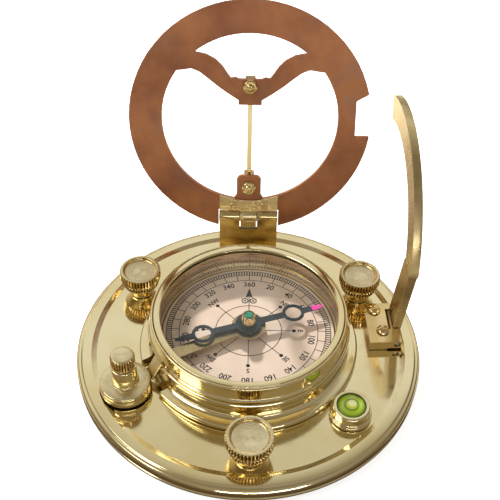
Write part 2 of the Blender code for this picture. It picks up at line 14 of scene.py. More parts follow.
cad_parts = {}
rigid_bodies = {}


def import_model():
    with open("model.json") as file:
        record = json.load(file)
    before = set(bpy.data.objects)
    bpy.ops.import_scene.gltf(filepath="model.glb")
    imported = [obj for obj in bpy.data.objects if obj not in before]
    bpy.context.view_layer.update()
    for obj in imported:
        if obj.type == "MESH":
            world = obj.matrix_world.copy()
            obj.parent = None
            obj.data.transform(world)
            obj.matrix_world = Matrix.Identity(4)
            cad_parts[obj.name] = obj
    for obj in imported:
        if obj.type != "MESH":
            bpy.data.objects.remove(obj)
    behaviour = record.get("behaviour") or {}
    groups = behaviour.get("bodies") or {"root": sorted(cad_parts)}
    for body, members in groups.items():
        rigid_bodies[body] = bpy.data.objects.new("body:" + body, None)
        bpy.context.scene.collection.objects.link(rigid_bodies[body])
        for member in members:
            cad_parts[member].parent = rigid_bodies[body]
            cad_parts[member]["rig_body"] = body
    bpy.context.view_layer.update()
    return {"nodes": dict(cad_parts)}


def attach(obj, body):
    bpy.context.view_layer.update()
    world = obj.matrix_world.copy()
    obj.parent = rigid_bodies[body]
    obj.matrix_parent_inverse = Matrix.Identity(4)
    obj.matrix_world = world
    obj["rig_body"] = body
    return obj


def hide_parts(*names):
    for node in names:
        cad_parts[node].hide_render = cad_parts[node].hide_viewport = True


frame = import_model()
NODES = frame["nodes"]
MM = 0.001
FOOT = 3.0

LEVEL_CIRCLE = 49.5
LEVEL_ANGLES = {"front": -88.8, "right": 30.9, "left": 148.6}
KNOB_SIZE = {"front": 1.12, "right": 1.06, "left": 1.06}
LEVER_ANGLE = -152.3
PILLAR_S = 48.6
VIAL_AT = (35.8, -32.0)
NEEDLE_ANGLE = 18.5
HINGE_X, HINGE_Y, HINGE_Z = -0.9, 50.7, 23.2
RING_LEAN = 14.2
STUD_HEIGHTS = {"lower": 11.9, "upper": 53.4}
RIVET_SPOTS = ((-6.1, 4.5), (6.1, 4.5))
BOWL_SCREW_R, BOWL_SCREW_ANGLES = 31.0, (60, 180, 300)
DIAL_TOP = 12.0
THREAD_PITCH, THREAD_CREST, THREAD_ROOT = 0.7, 1.68, 1.35
KNOB_TEETH, LOCK_TEETH = 40, 26

FLAT_FACE_AREA = 1.2e-5        # square metres; larger faces of a flat plate stay flat
MIX_A, MIX_B, MIX_COLOUR = 6, 7, 2      # colour sockets of the mix node


# ---------------------------------------------------------------- finishes

class Finish:
    """A principled material and short ways to add nodes to it."""

    def __init__(self, name, colour, roughness, metallic, **more):
        self.mat = bpy.data.materials.new(name)
        self.mat.use_nodes = True
        self.nodes = self.mat.node_tree.nodes
        self.shader = self.nodes["Principled BSDF"]
        self.set(self.shader, "Base Color", (*colour, 1.0))
        self.set(self.shader, "Roughness", roughness)
        self.set(self.shader, "Metallic", metallic)
        for socket, value in more.items():
            self.set(self.shader, socket.replace("_", " "), value)

    def set(self, node, socket, value):
        node.inputs[socket].default_value = value

    def link(self, out, socket):
        self.mat.node_tree.links.new(out, socket)

    def place(self, scale=(1, 1, 1), location=(0, 0, 0), rotation=(0, 0, 0)):
        """Object coordinates, moved, turned and stretched."""
        coords = self.nodes.new("ShaderNodeTexCoord")
        mapping = self.nodes.new("ShaderNodeMapping")
        self.set(mapping, "Scale", scale)
        self.set(mapping, "Location", location)
        self.set(mapping, "Rotation", [math.radians(a) for a in rotation])
        self.link(coords.outputs["Object"], mapping.inputs["Vector"])
        return mapping.outputs["Vector"]

    def noise(self, scale, detail=3.0, where=None, rough=0.5):
        node = self.nodes.new("ShaderNodeTexNoise")
        self.set(node, "Scale", scale)
        self.set(node, "Detail", detail)
        self.set(node, "Roughness", rough)
        self.link(where or self.place(), node.inputs["Vector"])
        return node.outputs["Fac"]

    def ramp(self, fac, stops):
        """A colour band, stops as (position, colour)."""
        node = self.nodes.new("ShaderNodeValToRGB")
        band = node.color_ramp
        for position, _ in stops[2:]:
            band.elements.new(position)
        for element, (position, colour) in zip(band.elements, stops):
            element.position = position
            element.color = (*colour, 1.0)
        self.link(fac, node.inputs["Fac"])
        return node.outputs["Color"]

    def spread(self, fac, low, high, out_low, out_high):
        node = self.nodes.new("ShaderNodeMapRange")
        for socket, value in (("From Min", low), ("From Max", high), ("To Min", out_low),
                              ("To Max", out_high)):
            self.set(node, socket, value)
        self.link(fac, node.inputs["Value"])
        return node.outputs["Result"]

    def mix(self, fac, one, two, kind='MIX'):
        node = self.nodes.new("ShaderNodeMix")
        node.data_type = 'RGBA'
        node.blend_type = kind
        for socket, value in ((node.inputs["Factor"], fac), (node.inputs[MIX_A], one),
                              (node.inputs[MIX_B], two)):
            if isinstance(value, bpy.types.NodeSocket):
                self.link(value, socket)
            else:
                socket.default_value = value
        return node.outputs[MIX_COLOUR]

    def bump(self, height, strength, depth):
        node = self.nodes.new("ShaderNodeBump")
        self.set(node, "Strength", strength)
        self.set(node, "Distance", depth * MM)
        self.link(height, node.inputs["Height"])
        self.link(node.outputs["Normal"], self.shader.inputs["Normal"])

    def colour(self, out):
        self.link(out, self.shader.inputs["Base Color"])

    def roughness(self, out):
        self.link(out, self.shader.inputs["Roughness"])


def worn_brass(name, pale, deep, rough, marks=1.0, metallic=1.0):
    """Brass with a little tarnish, uneven polish and fine wheel marks."""
    made = Finish(name, pale, rough[0], metallic)
    tarnish = made.noise(45.0, 4.0)
    made.colour(made.ramp(tarnish, [(0.35, deep), (0.62, pale)]))
    made.roughness(made.spread(made.noise(160.0, 5.0, rough=0.65), 0.3, 0.7, *rough))
    made.bump(made.noise(1400.0, 2.0, made.place((1, 1, 6))), 0.05 * marks, 0.05)
    return made.mat


BRASS = worn_brass("lacquered_brass", (0.88, 0.78, 0.49), (0.82, 0.69, 0.38), (0.06, 0.15))
BRASS_DEEP = worn_brass("golden_brass", (0.84, 0.68, 0.36), (0.70, 0.52, 0.22), (0.12, 0.24))
BRASS_SATIN = worn_brass("filed_brass", (0.74, 0.61, 0.35), (0.56, 0.43, 0.21), (0.22, 0.42), 3.0)
BRASS_RUBBED_AND_LIT = worn_brass("rubbed_and_lit_brass", (0.88, 0.76, 0.46), (0.74, 0.60, 0.32), (0.2, 0.34))
# Dark brown brass for the knurl cuts: painted shade in the grooves.
GROOVE_SHADE = worn_brass("groove_shade_brass", (0.40, 0.25, 0.09), (0.26, 0.15, 0.05), (0.3, 0.5))


def faced_brass():
    """Brass with the round tool marks of the lathe, which gather light into rays. It is paler than the knob
    sides below it: painted light on the tops.
    """
    made = Finish("faced_brass", (0.90, 0.80, 0.52), 0.24, 1.0, Anisotropic=0.85)
    made.colour(made.ramp(made.noise(70.0), [(0.3, (0.82, 0.70, 0.42)), (0.7, (0.92, 0.83, 0.56))]))
    around = made.nodes.new("ShaderNodeTangent")
    around.direction_type = 'RADIAL'
    around.axis = 'Z'
    made.link(around.outputs["Tangent"], made.shader.inputs["Tangent"])
    made.roughness(made.spread(made.noise(500.0, 4.0), 0.3, 0.7, 0.2, 0.34))
    return made.mat


FACED_AND_LIT = faced_brass()


def well_brass():
    """Inside of the bowl and bezel: darker brass, painted shade down in the well, turned with fine rings.
    """
    made = Finish("well_brass", (0.74, 0.56, 0.3), 0.2, 1.0)
    made.colour(made.ramp(made.noise(60.0), [(0.3, (0.56, 0.38, 0.19)), (0.7, (0.80, 0.60, 0.34))]))
    made.roughness(made.spread(made.noise(300.0, 4.0), 0.3, 0.7, 0.1, 0.25))
    made.bump(made.noise(900.0, 2.0, made.place((0.05, 0.05, 4))), 0.2, 0.03)
    return made.mat


WELL_SHADE = well_brass()


def aged_copper():
    made = Finish("aged_copper", (0.4, 0.17, 0.08), 0.4, 0.72)
    clouds = made.ramp(made.noise(38.0, 5.0, rough=0.6),
                       [(0.30, (0.29, 0.11, 0.052)), (0.48, (0.40, 0.165, 0.078)),
                        (0.60, (0.48, 0.205, 0.092)), (0.72, (0.40, 0.205, 0.135))])
    bruises = made.spread(made.noise(95.0, 3.0), 0.52, 0.72, 0.0, 0.5)
    made.colour(made.mix(bruises, clouds, (0.28, 0.145, 0.105, 1.0)))
    made.roughness(made.spread(made.noise(120.0, 5.0), 0.3, 0.7, 0.3, 0.5))
    made.bump(made.noise(1100.0, 3.0), 0.15, 0.04)
    return made.mat


COPPER = aged_copper()


def bright_steel():
    made = Finish("turned_steel", (0.56, 0.55, 0.53), 0.3, 1.0)
    made.roughness(made.spread(made.noise(400.0), 0.3, 0.7, 0.2, 0.4))
    made.colour(made.ramp(made.noise(90.0), [(0.3, (0.42, 0.41, 0.4)), (0.7, (0.6, 0.59, 0.57))]))
    return made.mat


STEEL = bright_steel()


def blued_needle():
    """Blued steel with the north end dipped in magenta paint."""
    made = Finish("blued_needle", (0.05, 0.07, 0.09), 0.45, 0.4, Specular_IOR_Level=0.3)
    steel = made.ramp(made.noise(150.0, 4.0), [(0.3, (0.020, 0.027, 0.034)), (0.7, (0.055, 0.068, 0.080))])
    split = made.nodes.new("ShaderNodeSeparateXYZ")
    made.link(made.place(rotation=(0, 0, -NEEDLE_ANGLE)), split.inputs[0])
    painted = made.spread(split.outputs["X"], 0.02445, 0.0246, 0.0, 1.0)
    made.colour(made.mix(painted, steel, (0.83, 0.055, 0.40, 1.0)))
    made.roughness(made.spread(made.noise(700.0, 3.0), 0.3, 0.7, 0.4, 0.55))
    metal = made.spread(split.outputs["X"], 0.02445, 0.0246, 0.4, 0.0)
    made.link(metal, made.shader.inputs["Metallic"])
    made.bump(made.noise(1500.0, 2.0), 0.1, 0.03)
    return made.mat


BLUED = blued_needle()


def dial_enamel():
    made = Finish("dial_enamel", (0.83, 0.68, 0.56), 0.5, 0.0, Coat_Weight=0.3, Coat_Roughness=0.2)
    made.colour(made.ramp(made.noise(70.0, 5.0, rough=0.6),
                          [(0.3, (0.76, 0.58, 0.45)), (0.7, (0.83, 0.68, 0.56))]))
    made.bump(made.noise(2500.0, 2.0), 0.05, 0.02)
    return made.mat


DIAL = dial_enamel()


def printing_ink():
    made = Finish("printing_ink", (0.02, 0.018, 0.017), 0.6, 0.0, Specular_IOR_Level=0.1)
    made.colour(made.ramp(made.noise(800.0, 3.0),
                          [(0.3, (0.006, 0.006, 0.006)), (0.75, (0.025, 0.021, 0.02))]))
    return made.mat


INK = printing_ink()


# Near-black brass: painted shade for the hinge's window, knuckle ends and washers.
def engraving():
    made = Finish("painted_shade_dark", (0.06, 0.045, 0.03), 0.6, 0.4)
    made.colour(made.ramp(made.noise(900.0, 3.0), [(0.3, (0.03, 0.022, 0.014)), (0.7, (0.11, 0.08, 0.04))]))
    return made.mat


PAINTED_SHADE = engraving()


def window_glass():
    made = Finish("window_glass", (0.5, 0.55, 0.52), 0.03, 0.0, Alpha=0.035, IOR=1.5)
    made.roughness(made.spread(made.noise(30.0), 0.3, 0.7, 0.01, 0.05))
    return made.mat


GLASS = window_glass()


def green_stone():
    made = Finish("green_stone", (0.01, 0.22, 0.12), 0.12, 0.0, Coat_Weight=0.6)
    made.colour(made.ramp(made.noise(900.0, 4.0), [(0.3, (0.004, 0.13, 0.07)), (0.7, (0.02, 0.30, 0.17))]))
    return made.mat


JEWEL = green_stone()


def level_fluid():
    """Yellow-green fluid under a domed window, with the centring circle, darker towards the rim. It also
    glows a little in its own colour, a painted light.
    """
    made = Finish("level_fluid", (0.62, 0.75, 0.02), 0.06, 0.0, Coat_Weight=1.0)
    split = made.nodes.new("ShaderNodeVectorMath")
    split.operation = 'LENGTH'
    centre = (-VIAL_AT[0] * MM, -VIAL_AT[1] * MM, 0)
    flat = made.nodes.new("ShaderNodeVectorMath")
    flat.operation = 'MULTIPLY'
    flat.inputs[1].default_value = (1, 1, 0)
    made.link(made.place(location=centre), flat.inputs[0])
    made.link(flat.outputs[0], split.inputs[0])
    radius = made.spread(split.outputs["Value"], 0.0, 0.005, 0.0, 1.0)
    rings = made.ramp(radius, [(0.0, (0.62, 0.72, 0.03)), (0.34, (0.60, 0.70, 0.02)),
                               (0.42, (0.16, 0.30, 0.01)), (0.50, (0.14, 0.28, 0.01)),
                               (0.58, (0.46, 0.60, 0.02)), (0.78, (0.36, 0.50, 0.02)),
                               (0.93, (0.10, 0.22, 0.01))])
    made.colour(rings)
    # The fluid's own colour as emission: a painted glow.
    made.link(rings, made.shader.inputs["Emission Color"])
    made.set(made.shader, "Emission Strength", 0.12)
    made.roughness(made.spread(made.noise(200.0), 0.3, 0.7, 0.03, 0.1))
    return made.mat


FLUID = level_fluid()


def air_bubble():
    # A pale bubble that glows: the level's real bubble with a painted highlight on it.
    made = Finish("air_bubble", (0.88, 0.95, 0.45), 0.04, 0.0, Coat_Weight=1.0)
    made.colour(made.ramp(made.noise(500.0), [(0.3, (0.80, 0.90, 0.30)), (0.7, (0.95, 0.98, 0.62))]))
    made.set(made.shader, "Emission Strength", 0.2)
    made.set(made.shader, "Emission Color", (0.8, 0.9, 0.3, 1.0))
    return made.mat


GLINTING_BUBBLE = air_bubble()


# ------------------------------------------------------------ making shapes

def place_z(x=0, y=0, turn=0):
    return Matrix.Translation(Vector((x, y, FOOT)) * MM) @ Matrix.Rotation(math.radians(turn), 4, 'Z')


RING_PLACE = (Matrix.Translation(Vector((HINGE_X, HINGE_Y, HINGE_Z + FOOT)) * MM)
              @ Matrix.Rotation(math.radians(-RING_LEAN), 4, 'X'))
FLAT_TO_RING = Matrix.Rotation(math.radians(90), 4, 'X')


def on_ring(x, v):
    """Places a shape made up +Z so that it points out of the hour ring's front."""
    return RING_PLACE @ Matrix.Translation(Vector((x, 0, v)) * MM) @ FLAT_TO_RING


def polar(radius, angle):
    a = math.radians(angle)
    return radius * math.cos(a), radius * math.sin(a)


def new_object(name, mesh, mat=None):
    obj = bpy.data.objects.new(name, mesh)
    bpy.context.scene.collection.objects.link(obj)
    if mat is not None:
        mesh.materials.clear()
        mesh.materials.append(mat)
    return obj


def smooth(mesh, angle=28.0):
    for face in mesh.polygons:
        face.use_smooth = True
    mesh.set_sharp_from_angle(angle=math.radians(angle))


def settle(obj, angle=28.0):
    """Apply the modifiers, so that the piece is one plain mesh."""
    bpy.context.view_layer.update()
    graph = bpy.context.evaluated_depsgraph_get()
    mesh = bpy.data.meshes.new_from_object(obj.evaluated_get(graph))
    obj.modifiers.clear()
    obj.data = mesh
    smooth(mesh, angle)
    return obj


def ride(obj, body, node=None):
    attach(obj, body)
    if node:
        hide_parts(node)
    return obj


def eased(profile, size=0.2):
    """Round the corners of a turned profile with two short steps."""
    if not size:
        return profile
    made = [profile[0]]
    for before, at, after in zip(profile, profile[1:], profile[2:]):
        a, b, c = Vector(before[:2]), Vector(at[:2]), Vector(after[:2])
        first, second = a - b, c - b
        sharp = first.length > 1e-6 and second.length > 1e-6 and first.angle(second) < 2.75
        if not sharp:
            made.append(at)
            continue
        cut = min(size, first.length * 0.42, second.length * 0.42)
        p, q = b + first.normalized() * cut, b + second.normalized() * cut
        middle = (p + q) * 0.25 + b * 0.5
        made += [(*p, *at[2:]), (*middle, *at[2:]), (*q, *at[2:])]
    made.append(profile[-1])
    return made


def lathe(name, profile, where, mat, steps=96, ease=0.2, ring=False, teeth=0, angle=28.0,
          groove_shade=None):
    """Turn a profile of (radius, height[, knurl depth]) points about Z.

    Points with a knurl depth are cut into that many teeth, and the groove shade, a dark brass
    painted as shade, goes into the cuts. A ring's profile is closed.
    """
    points = list(profile)
    if ring:
        points = [points[-1]] + points + [points[0]]
    points = eased(points, ease)
    if ring:
        points = points[1:-1]
    count = teeth * 4 if teeth else steps
    bm = bmesh.new()
    rows, knurled, in_shaded_groove = [], [], []
    for point in points:
        r, z = point[0], point[1]
        depth = point[2] if len(point) > 2 else 0.0
        knurled.append(depth > 0)
        if r < 1e-5:
            rows.append([bm.verts.new((0, 0, z * MM))])
            continue
        row = []
        for i in range(count):
            a = math.tau * i / count
            cut = depth * (1.0, 0.45, 0.0, 0.45)[i % 4] if depth else 0.0
            row.append(bm.verts.new(((r - cut) * MM * math.cos(a), (r - cut) * MM * math.sin(a),
                                     z * MM)))
        rows.append(row)
    pairs = list(zip(rows, rows[1:], [a and b for a, b in zip(knurled, knurled[1:])]))
    if ring:
        pairs.append((rows[-1], rows[0], False))
    for upper, lower, cut_here in pairs:
        for i in range(count):
            j = (i + 1) % count
            if len(upper) == 1 and len(lower) == 1:
                continue
            if len(upper) == 1:
                bm.faces.new((upper[0], lower[i], lower[j]))
            elif len(lower) == 1:
                bm.faces.new((upper[i], lower[0], upper[j]))
            else:
                face = bm.faces.new((upper[i], lower[i], lower[j], upper[j]))
                # Faces down in the knurl cuts take the dark brass: painted shade.
                if groove_shade and cut_here and i % 4 in (0, 3):
                    in_shaded_groove.append(face)
    bmesh.ops.transform(bm, matrix=where, verts=bm.verts)
    bmesh.ops.recalc_face_normals(bm, faces=bm.faces)
    bm.faces.index_update()
    shaded_grooves = [face.index for face in in_shaded_groove]
    mesh = bpy.data.meshes.new(name)
    bm.to_mesh(mesh)
    bm.free()
    smooth(mesh, angle)
    obj = new_object(name, mesh, mat)
    if groove_shade:
        mesh.materials.append(groove_shade)
        for index in shaded_grooves:
            mesh.polygons[index].material_index = 1
    return obj


def faced(obj, low_z):
    """The faces that look up from above a height take the lathe-turned finish, a paler brass that also
    paints light on the tops.
    """
    obj.data.materials.append(FACED_AND_LIT)
    index = len(obj.data.materials) - 1
    for face in obj.data.polygons:
        if face.normal.z > 0.9 and face.center.z > (low_z + FOOT) * MM:
            face.material_index = index


def block(low, high, where):
    """A box between two corners, used as a cutter."""
    low, high = Vector(low), Vector(high)
    bm = bmesh.new()
    bmesh.ops.create_cube(bm, size=1.0)
    size, middle = (high - low) * MM, (high + low) * 0.5 * MM
    for vert in bm.verts:
        vert.co = Vector([c * s + m for c, s, m in zip(vert.co, size, middle)])
    bmesh.ops.transform(bm, matrix=where, verts=bm.verts)
    mesh = bpy.data.meshes.new("cutter")
    bm.to_mesh(mesh)
    bm.free()
    return new_object("cutter", mesh)


def cut(obj, *tools, angle=28.0, bevel=0.0):
    """Cut shapes out of a piece, then shade it smooth with sharp edges by angle."""
    for tool in tools:
        mod = obj.modifiers.new("cut", 'BOOLEAN')
        mod.operation = 'DIFFERENCE'
        mod.solver = 'EXACT'
        mod.object = tool
    settle(obj, angle)
    for tool in tools:
        bpy.data.objects.remove(tool, do_unlink=True)
    return obj


def refined(node, mat, bevel=0.15, segments=2, angle=28.0):
    """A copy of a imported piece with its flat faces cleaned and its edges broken."""
    source = NODES[node]
    bm = bmesh.new()
    bm.from_mesh(source.data)
    bmesh.ops.remove_doubles(bm, verts=bm.verts, dist=0.000003)
    bmesh.ops.dissolve_limit(bm, angle_limit=math.radians(0.5), verts=bm.verts, edges=bm.edges)
    mesh = bpy.data.meshes.new(node + "_finished")
    bm.to_mesh(mesh)
    bm.free()
    obj = new_object(node + "_finished", mesh, mat)
    if bevel:
        mod = obj.modifiers.new("edges", 'BEVEL')
        mod.width = bevel * MM
        mod.segments = segments
        mod.limit_method = 'ANGLE'
        mod.angle_limit = math.radians(32)
        mod.use_clamp_overlap = True
    settle(obj, angle)
    for face in obj.data.polygons:
        if face.area > FLAT_FACE_AREA:
            face.use_smooth = False
    return obj


def body_of(node):
    return NODES[node]["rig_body"]


def stand_for(obj, node):
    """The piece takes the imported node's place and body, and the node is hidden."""
    return ride(obj, body_of(node), node)


# ------------------------------------------------------------- round pieces

def plate_and_bowl():
    plate = lathe("round_plate", [(0, 4.0), (33.3, 4.0), (33.3, 5.0), (56.1, 5.0), (58.0, 5.6),
                                  (61.3, 5.6), (61.8, 5.1), (62.6, 5.0), (63.5, 4.1), (63.5, 2.2),
                                  (62.9, 1.6), (62.9, 1.2), (63.4, 0.9), (63.4, 0.3), (63.1, 0.0),
                                  (0, 0.0)], place_z(), BRASS, steps=192, ease=0.28, angle=16)
    tools = []
    for name, angle in LEVEL_ANGLES.items():
        tools.append(lathe("cutter_" + name, [(0, 7), (2.1, 7), (2.1, -1), (0, -1)],
                           place_z(*polar(LEVEL_CIRCLE, angle)), None, steps=32, ease=0))
    for angle in BOWL_SCREW_ANGLES:
        tools.append(lathe("cutter_screw", [(0, 5), (1.45, 5), (1.45, 1.9), (2.9, 1.9), (2.9, -1),
                                            (0, -1)], place_z(*polar(BOWL_SCREW_R, angle)), None, steps=24,
                           ease=0))
    stand_for(cut(plate, *tools, angle=16), "base_plate")

    bowl = lathe("turned_bowl", [(31.9, 15.5), (36.4, 15.5), (36.9, 15.0), (36.9, 13.6),
                                 (36.2, 13.0), (35.75, 12.2), (35.55, 11.2), (35.5, 10.1),
                                 (35.7, 9.0), (36.1, 8.1), (37.0, 7.5), (38.4, 7.25), (39.7, 7.2),
                                 (40.3, 6.7), (40.3, 5.3), (33.0, 5.3), (33.0, 4.3), (28.5, 4.3),
                                 (28.5, 8.7), (1.5, 8.7), (1.5, 10.7), (31.9, 10.7)],
                 place_z(), BRASS, steps=192, ease=0.22, ring=True, angle=22)
    turn = place_z(turn=LEVER_ANGLE)
    bowl = cut(bowl, block((31.0, -8, 11.2), (42, 8, 17), turn),
               block((33.6, -8, 4.8), (42, 8, 11.6), turn), angle=22)
    stand_for(bowl, "compass_bowl")
    for i, angle in enumerate(BOWL_SCREW_ANGLES):
        screw = lathe(f"bowl_screw_head_{i + 1}", [(0, 8.6), (1.15, 8.6), (1.15, 1.6), (2.5, 1.6),
                                                   (2.5, 0.3), (0, 0.3)],
                      place_z(*polar(BOWL_SCREW_R, angle)), STEEL, steps=32, ease=0.12)
        slot = block((-3, -0.3, -0.2), (3, 0.3, 0.9), place_z(*polar(BOWL_SCREW_R, angle), turn=angle + 20))
        stand_for(cut(screw, slot), f"bowl_screw_{i + 1}")


def glazing():
    bezel = lathe("turned_bezel", [(34.7, 22.4), (35.1, 22.4), (35.45, 22.1), (35.6, 17.3),
                                   (35.9, 17.0), (36.3, 16.7), (36.3, 15.8), (31.9, 15.8),
                                   (31.9, 20.7), (34.7, 20.7)], place_z(), BRASS, steps=192,
                  ease=0.14, ring=True)
    # The bezel's inner faces take the darker brass: painted shade in the well.
    bezel.data.materials.append(WELL_SHADE)
    inner_faces(bezel, 32.2, 1)
    stand_for(bezel, "bezel")
    ring = lathe("sprung_glass_ring", [(32.2, 22.5), (34.2, 22.5), (34.4, 22.3), (34.4, 22.0),
                                       (31.9, 22.0), (31.9, 22.2)], place_z(), BRASS, steps=192,
                 ease=0.1, ring=True)
    stand_for(ring, "glass_ring")
    pane = lathe("flat_glass", [(0, 21.7), (34.1, 21.7), (34.3, 21.5), (34.3, 21.0), (0, 21.0)],
                 place_z(), GLASS, steps=128, ease=0)
    stand_for(pane, "crystal")
    dial = lathe("enamelled_dial", [(2.0, 12.0), (31.3, 12.0), (31.5, 11.8), (31.5, 11.0),
                                    (2.0, 11.0)], place_z(), DIAL, steps=160, ease=0, ring=True)
    stand_for(dial, "dial_plate")
    pin = lathe("turned_pivot", [(0, 18.0), (0.25, 17.6), (1.1, 15.0), (1.1, 13.6), (1.6, 13.2),
                                 (1.6, 12.3), (1.2, 12.3), (1.2, 7.8), (0, 7.8)], place_z(),
                BRASS_DEEP, steps=32, ease=0.08)
    stand_for(pin, "pivot_pin")


def inner_faces(obj, radius, index):
    """Faces that look in at the axis within a radius take another finish."""
    for face in obj.data.polygons:
        c = face.center
        if math.hypot(c.x, c.y) < radius * MM and abs(face.normal.z) < 0.6:
            face.material_index = index


def turned_face(outer, low, high, pitch=0.52, depth=0.042):
    """Profile points across a faced end, with the fine rings that the tool left."""
    points = [(0, low)]
    count = int(outer / pitch)
    for i in range(1, count + 1):
        r = outer * i / count
        z = low + (high - low) * (i / count) ** 3
        points += [(r - pitch / 2, z), (r, z - depth)]
    return points


def knobs():
    face = turned_face(5.2, 15.45, 15.75)
    knob = face + [(5.45, 15.8), (5.75, 16.1), (6.0, 16.75), (6.25, 16.9), (6.95, 16.9),
                   (7.4, 16.5, 0.8), (7.4, 13.35, 0.8), (6.95, 13.1), (6.55, 13.0), (6.55, 12.7),
                   (7.0, 12.35, 0.6), (6.3, 9.8, 0.6), (5.9, 9.4), (4.3, 6.2), (4.3, 5.3),
                   (2.0, 5.3), (2.0, 12.3), (0, 12.3)]
    for name, angle in LEVEL_ANGLES.items():
        spot = place_z(*polar(LEVEL_CIRCLE, angle))
        sized = [(p[0] if p[0] <= 2.0 and p[1] < 13 else p[0] * KNOB_SIZE[name], *p[1:])
                 for p in knob]
        head = lathe(f"knurled_knob_{name}", sized, spot, BRASS_DEEP, teeth=KNOB_TEETH, ease=0.12, angle=24,
                     groove_shade=GROOVE_SHADE)
        faced(head, 15.0)
        stand_for(head, f"leveller_knob_{name}")
        thread = [(0, 12.0), (1.7, 12.0), (1.7, 5.0)]
        z = 4.9
        while z > -2.2:
            thread += [(THREAD_CREST, z), (THREAD_ROOT, z - THREAD_PITCH / 2)]
            z -= THREAD_PITCH
        thread += [(1.6, -2.4), (1.4, -3.0), (0, -3.0)]
        spindle = lathe(f"threaded_spindle_{name}", thread, spot, STEEL, steps=32, ease=0)
        stand_for(spindle, f"leveller_spindle_{name}")

    spot = polar(PILLAR_S, LEVER_ANGLE)
    disc = [(4.6 + p[0] * 0.82, p[1]) for p in turned_face(5.0, 10.4, 10.1)]
    post = lathe("turned_pillar", [(0, 7.3), (1.9, 7.3), (1.9, 18.4), (4.2, 18.4), (4.5, 18.1),
                                   (4.55, 11.0)] + disc[1:] +
                 [(8.9, 9.9), (9.1, 9.4), (9.1, 8.6), (8.85, 8.3), (8.85, 7.9), (9.1, 7.6),
                  (9.1, 5.9), (8.0, 5.9), (6.0, 5.3), (2.5, 5.3), (2.5, 2.3), (0, 2.3)],
                 place_z(*spot, turn=LEVER_ANGLE), BRASS, steps=96, ease=0.18)
    post = cut(post, block((-11, -3.3, 7.2), (1.6, 3.3, 9.2), place_z(*spot, turn=LEVER_ANGLE)))
    faced(post, 9.0)
    stand_for(post, "lock_pillar")
    top = lathe("knurled_lock_knob", turned_face(3.3, 24.15, 24.05) +
                [(3.75, 23.9), (4.3, 23.4, 0.45), (4.3, 19.15, 0.45), (4.0, 18.7), (1.8, 18.7),
                 (1.8, 22.8), (0, 22.8)], place_z(*spot), BRASS_DEEP, teeth=LOCK_TEETH, ease=0.1, angle=24,
                groove_shade=GROOVE_SHADE)
    faced(top, 22.0)
    stand_for(top, "lock_knob")


def level():
    cup = lathe("level_cup", [(0, 6.2), (5.15, 6.2), (5.15, 10.5), (6.2, 10.5), (6.6, 10.1),
                              (6.6, 7.2), (6.9, 6.9), (7.15, 6.9), (7.4, 6.65), (7.4, 5.3),
                              (0, 5.3)], place_z(*VIAL_AT), BRASS, steps=96, ease=0.15)
    stand_for(cup, "level_housing")
    vial = lathe("level_window", [(0, 10.9), (1.6, 10.87), (3.2, 10.7), (4.2, 10.45),
                                  (4.85, 10.15), (4.85, 6.5), (0, 6.5)], place_z(*VIAL_AT), FLUID,
                 steps=64, ease=0.1)
    stand_for(vial, "level_vial")
    # The bubble, pale and glowing: partly the real bubble, partly a painted highlight.
    bubble_glint = lathe("level_bubble_glint", [(0, 11.02), (0.7, 11.0), (1.25, 10.93), (1.6, 10.8),
                                    (1.2, 10.7), (0, 10.65)],
                   place_z(VIAL_AT[0] + 0.3, VIAL_AT[1] + 0.5), GLINTING_BUBBLE, steps=40, ease=0)
    ride(bubble_glint, "base")


# ------------------------------------------------------------------ needle

def needle():
    stand_for(refined("needle_blade", BLUED, bevel=0.08), "needle_blade")
    cap = lathe("turned_needle_cap", [(0, 19.4), (1.95, 19.4), (1.95, 20.3), (2.3, 20.3),
                                      (2.5, 20.0), (2.75, 17.5), (2.9, 16.4), (1.9, 16.4),
                                      (1.9, 15.3), (3.6, 15.3), (3.6, 14.9), (1.55, 14.9),
                                      (0.45, 18.3), (0, 18.3)], place_z(), BRASS_DEEP, steps=48,
                ease=0.1)
    stand_for(cap, "needle_cap")
    gem = lathe("cut_jewel", [(0, 20.4), (1.2, 20.38), (1.5, 20.28), (1.65, 20.1), (1.65, 19.7),
                              (0, 19.7)], place_z(), JEWEL, steps=48, ease=0.05)
    stand_for(gem, "cap_jewel")
    stand_for(refined("needle_lifter", BRASS_SATIN, bevel=0.12), "needle_lifter")


# ----------------------------------------------------------- dial printing

def tree_input(tree, name, kind, value):
    socket = tree.interface.new_socket(name=name, in_out='INPUT', socket_type=kind)
    socket.default_value = value
    return socket.identifier


